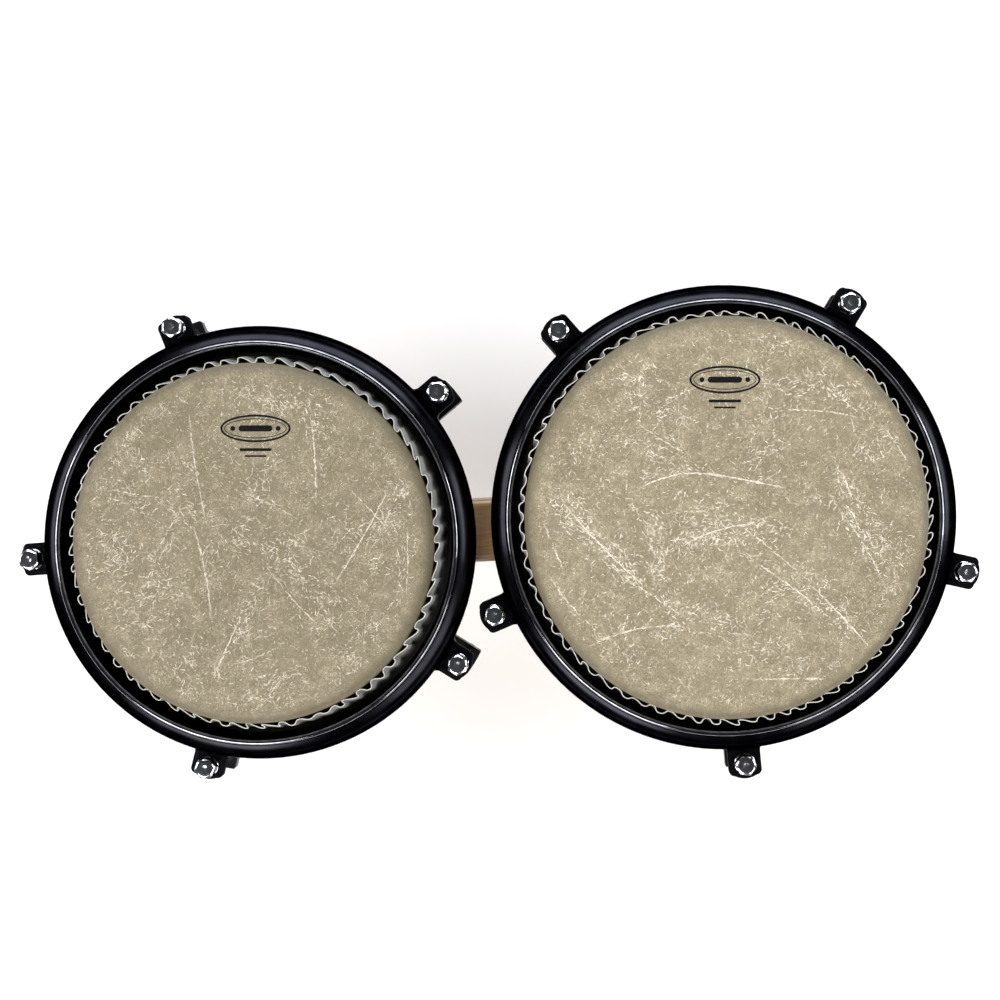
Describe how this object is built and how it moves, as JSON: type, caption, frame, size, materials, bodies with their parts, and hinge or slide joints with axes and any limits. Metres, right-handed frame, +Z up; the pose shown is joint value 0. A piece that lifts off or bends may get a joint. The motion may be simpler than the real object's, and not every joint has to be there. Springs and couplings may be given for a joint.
{
  "type": "bongo drums",
  "caption": "Bongo drums: a small and a large tapered wooden shell joined by a block, with fibre-pattern heads, black rims, side lugs and chrome tuning bolts.",
  "frame": {"origin": "bottom centre of the bounding box of the pair, on the surface the foot rings stand on", "axes": "+X from the small drum to the large drum, +Z up out of the heads, +Y away from the player"},
  "size_m": [0.523, 0.2702, 0.165],
  "materials": {
    "shell_wood": "satin lacquer over upright wooden staves",
    "block_wood": "satin lacquer",
    "head_film": "matt tan film with pressed pale fibres",
    "flesh_hoop": "plain steel",
    "rim": "gloss black coating, lightly textured on the ears",
    "lug": "gloss black coating over a cast surface",
    "tuning_bolt": "polished chrome",
    "tuning_washer": "polished chrome",
    "lug_insert": "turned",
    "lug_screw": "zinc plated",
    "gasket": "matt",
    "foot_rubber": "matt",
    "block_fastener": "zinc plated"
  },
  "bodies": {
    "shells": {"centre_block": "block_wood", "centre_bolts": "block_fastener", "centre_nuts": "block_fastener", "centre_washers": "block_fastener", "large_block_pad": "gasket", "large_foot_ring": "foot_rubber", "large_head_film": "head_film", "large_lug_1": "lug", "large_lug_2": "lug", "large_lug_3": "lug", "large_lug_4": "lug", "large_lug_5": "lug", "large_lug_gaskets": "gasket", "large_lug_inserts": "lug_insert", "large_lug_screws": "lug_screw", "large_shell": "shell_wood", "small_block_pad": "gasket", "small_foot_ring": "foot_rubber", "small_head_film": "head_film", "small_lug_1": "lug", "small_lug_2": "lug", "small_lug_3": "lug", "small_lug_4": "lug", "small_lug_5": "lug", "small_lug_gaskets": "gasket", "small_lug_inserts": "lug_insert", "small_lug_screws": "lug_screw", "small_shell": "shell_wood"},
    "small_rim_set": {"small_rim": "rim", "small_flesh_hoop": "flesh_hoop", "small_head_collar": "head_film", "small_tuning_washers": "tuning_washer"},
    "small_bolt_1": {"small_tuning_bolt_1": "tuning_bolt"},
    "small_bolt_2": {"small_tuning_bolt_2": "tuning_bolt"},
    "small_bolt_3": {"small_tuning_bolt_3": "tuning_bolt"},
    "small_bolt_4": {"small_tuning_bolt_4": "tuning_bolt"},
    "small_bolt_5": {"small_tuning_bolt_5": "tuning_bolt"},
    "large_rim_set": {"large_rim": "rim", "large_flesh_hoop": "flesh_hoop", "large_head_collar": "head_film", "large_tuning_washers": "tuning_washer"},
    "large_bolt_1": {"large_tuning_bolt_1": "tuning_bolt"},
    "large_bolt_2": {"large_tuning_bolt_2": "tuning_bolt"},
    "large_bolt_3": {"large_tuning_bolt_3": "tuning_bolt"},
    "large_bolt_4": {"large_tuning_bolt_4": "tuning_bolt"},
    "large_bolt_5": {"large_tuning_bolt_5": "tuning_bolt"}
  },
  "joints": [
    {"name": "small_rim_slide", "type": "slide", "parent": "shells", "child": "small_rim_set", "axis": [0, 0, 1], "range_m": [-0.002, 0.004], "deforming": ["small_head_collar"]},
    {"name": "large_rim_slide", "type": "slide", "parent": "shells", "child": "large_rim_set", "axis": [0, 0, 1], "range_m": [-0.002, 0.004], "deforming": ["large_head_collar"]},
    {"name": "small_bolt_1_turn", "type": "hinge", "parent": "small_rim_set", "child": "small_bolt_1", "pos_m": [-0.02795, 0.08369, 0.1312], "axis": [0, 0, 1], "range_deg": [-721, 1441]},
    {"name": "small_bolt_2_turn", "type": "hinge", "parent": "small_rim_set", "child": "small_bolt_2", "pos_m": [-0.16986, 0.12653, 0.1312], "axis": [0, 0, 1], "range_deg": [-721, 1441]},
    {"name": "small_bolt_3_turn", "type": "hinge", "parent": "small_rim_set", "child": "small_bolt_3", "pos_m": [-0.25446, 0.00481, 0.1312], "axis": [0, 0, 1], "range_deg": [-721, 1441]},
    {"name": "small_bolt_4_turn", "type": "hinge", "parent": "small_rim_set", "child": "small_bolt_4", "pos_m": [-0.16484, -0.11327, 0.1312], "axis": [0, 0, 1], "range_deg": [-721, 1441]},
    {"name": "small_bolt_5_turn", "type": "hinge", "parent": "small_rim_set", "child": "small_bolt_5", "pos_m": [-0.02484, -0.06452, 0.1312], "axis": [0, 0, 1], "range_deg": [-721, 1441]},
    {"name": "large_bolt_1_turn", "type": "hinge", "parent": "large_rim_set", "child": "large_bolt_1", "pos_m": [0.19742, 0.11905, 0.1312], "axis": [0, 0, 1], "range_deg": [-721, 1441]},
    {"name": "large_bolt_2_turn", "type": "hinge", "parent": "large_rim_set", "child": "large_bolt_2", "pos_m": [0.03966, 0.11299, 0.1312], "axis": [0, 0, 1], "range_deg": [-721, 1441]},
    {"name": "large_bolt_3_turn", "type": "hinge", "parent": "large_rim_set", "child": "large_bolt_3", "pos_m": [-0.00333, -0.03892, 0.1312], "axis": [0, 0, 1], "range_deg": [-721, 1441]},
    {"name": "large_bolt_4_turn", "type": "hinge", "parent": "large_rim_set", "child": "large_bolt_4", "pos_m": [0.12787, -0.12675, 0.1312], "axis": [0, 0, 1], "range_deg": [-721, 1441]},
    {"name": "large_bolt_5_turn", "type": "hinge", "parent": "large_rim_set", "child": "large_bolt_5", "pos_m": [0.25194, -0.02912, 0.1312], "axis": [0, 0, 1], "range_deg": [-721, 1441]}
  ],
  "couplings": [
    {"joint": "small_bolt_1_turn", "follows": "small_rim_slide", "rad_per_m": 6283.2},
    {"joint": "small_bolt_2_turn", "follows": "small_rim_slide", "rad_per_m": 6283.2},
    {"joint": "small_bolt_3_turn", "follows": "small_rim_slide", "rad_per_m": 6283.2},
    {"joint": "small_bolt_4_turn", "follows": "small_rim_slide", "rad_per_m": 6283.2},
    {"joint": "small_bolt_5_turn", "follows": "small_rim_slide", "rad_per_m": 6283.2},
    {"joint": "large_bolt_1_turn", "follows": "large_rim_slide", "rad_per_m": 6283.2},
    {"joint": "large_bolt_2_turn", "follows": "large_rim_slide", "rad_per_m": 6283.2},
    {"joint": "large_bolt_3_turn", "follows": "large_rim_slide", "rad_per_m": 6283.2},
    {"joint": "large_bolt_4_turn", "follows": "large_rim_slide", "rad_per_m": 6283.2},
    {"joint": "large_bolt_5_turn", "follows": "large_rim_slide", "rad_per_m": 6283.2}
  ]
}
